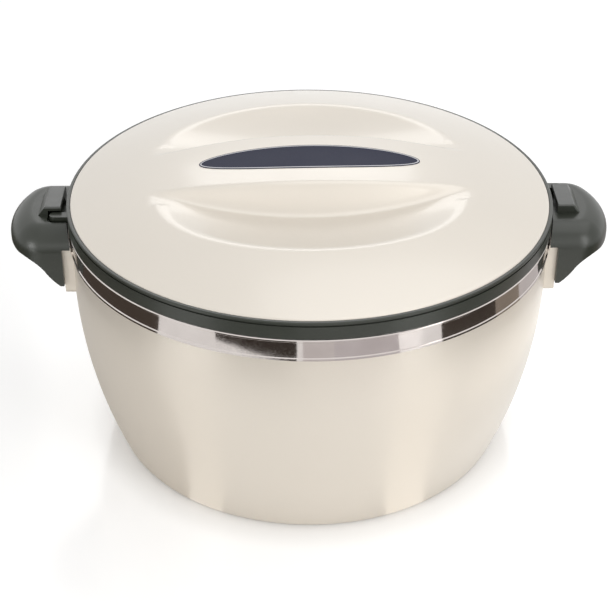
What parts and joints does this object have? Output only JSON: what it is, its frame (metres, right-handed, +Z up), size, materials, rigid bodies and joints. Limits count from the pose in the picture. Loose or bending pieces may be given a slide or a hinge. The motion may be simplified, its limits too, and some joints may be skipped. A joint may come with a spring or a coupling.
{
  "type": "insulated casserole",
  "caption": "Round insulated serving pot with a steel bowl, two ear handles, a bright rim band and a domed lift-off lid that twists under a hook on each handle.",
  "frame": {"origin": "middle of the foot ring, in the plane that the pot stands on", "axes": "+Z up through the lid; +X through the right-hand handle; +Y away from the side seen in the picture"},
  "size_m": [0.354, 0.2842, 0.1786],
  "materials": {
    "body_plastic": "glossy",
    "lid_plastic": "glossy",
    "collar_plastic": "satin",
    "plug_plastic": "satin",
    "dark_plastic": "satin",
    "badge_plastic": "glossy",
    "bright_steel": "polished",
    "bowl_steel": "brushed",
    "screw_steel": "plated",
    "insulating_foam": "rigid foam",
    "seal_rubber": "matt"
  },
  "bodies": {
    "pot": {"outer_shell": "body_plastic", "rim_band": "bright_steel", "rim_collar": "collar_plastic", "inner_bowl": "bowl_steel", "body_foam": "insulating_foam", "foam_fill_plug": "plug_plastic", "handle_screws": "screw_steel", "handle_right": "dark_plastic", "handle_left": "dark_plastic"},
    "seal": {"lid_seal": "seal_rubber"},
    "lid": {"lid_cover": "lid_plastic", "lid_badge": "badge_plastic", "lid_ring": "dark_plastic", "lid_liner": "bowl_steel", "lid_foam": "insulating_foam", "lid_fill_plug": "plug_plastic"}
  },
  "joints": [
    {"name": "lid_lift", "type": "slide", "parent": "pot", "child": "seal", "axis": [0, 0, 1], "range_m": [0, 0.12]},
    {"name": "lid_turn", "type": "hinge", "parent": "seal", "child": "lid", "pos_m": [0, 0, 0.15], "axis": [0, 0, 1], "range_deg": [-7, 0]}
  ]
}
